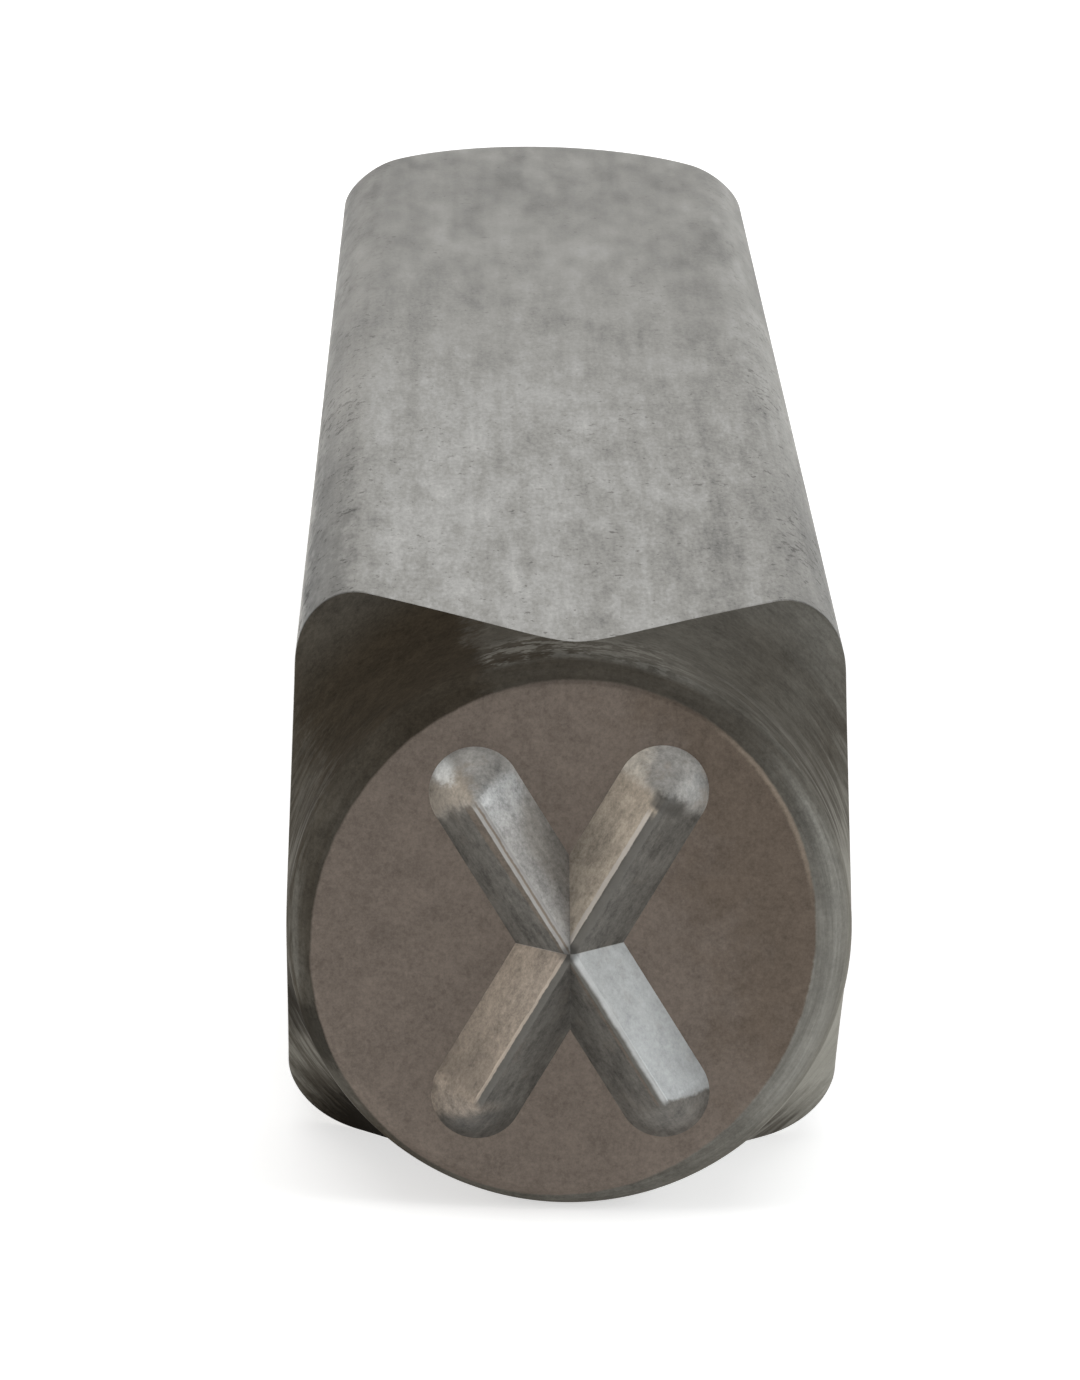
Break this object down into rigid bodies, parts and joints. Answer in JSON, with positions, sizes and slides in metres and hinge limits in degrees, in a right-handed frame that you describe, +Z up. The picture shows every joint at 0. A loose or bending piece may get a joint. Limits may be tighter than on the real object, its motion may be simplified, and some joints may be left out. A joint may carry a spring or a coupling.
{
  "type": "letter stamp",
  "caption": "Square steel hand stamp with a turned nose, a raised letter on its round face and a crowned end for a hammer, for marking metal, leather or wood.",
  "frame": {"origin": "on the surface that the stamp lies on, below the middle of its length", "axes": "+Y along the bar from the letter to the struck end, +Z up from the flat that it lies on, +X to the right when facing the letter"},
  "size_m": [0.01, 0.071, 0.01],
  "materials": {
    "letter": "ground bright flanks with a brown oxide film",
    "turned_nose": "turned in fine rings, brown-grey heat-treated face",
    "bar": "tumbled matte grey with small pits",
    "bar_end": "tumbled matte grey, turned crown"
  },
  "bodies": {
    "root": {"letter_x": "letter", "nose": "turned_nose", "shank": "bar", "struck_end": "bar_end"}
  },
  "joints": []
}
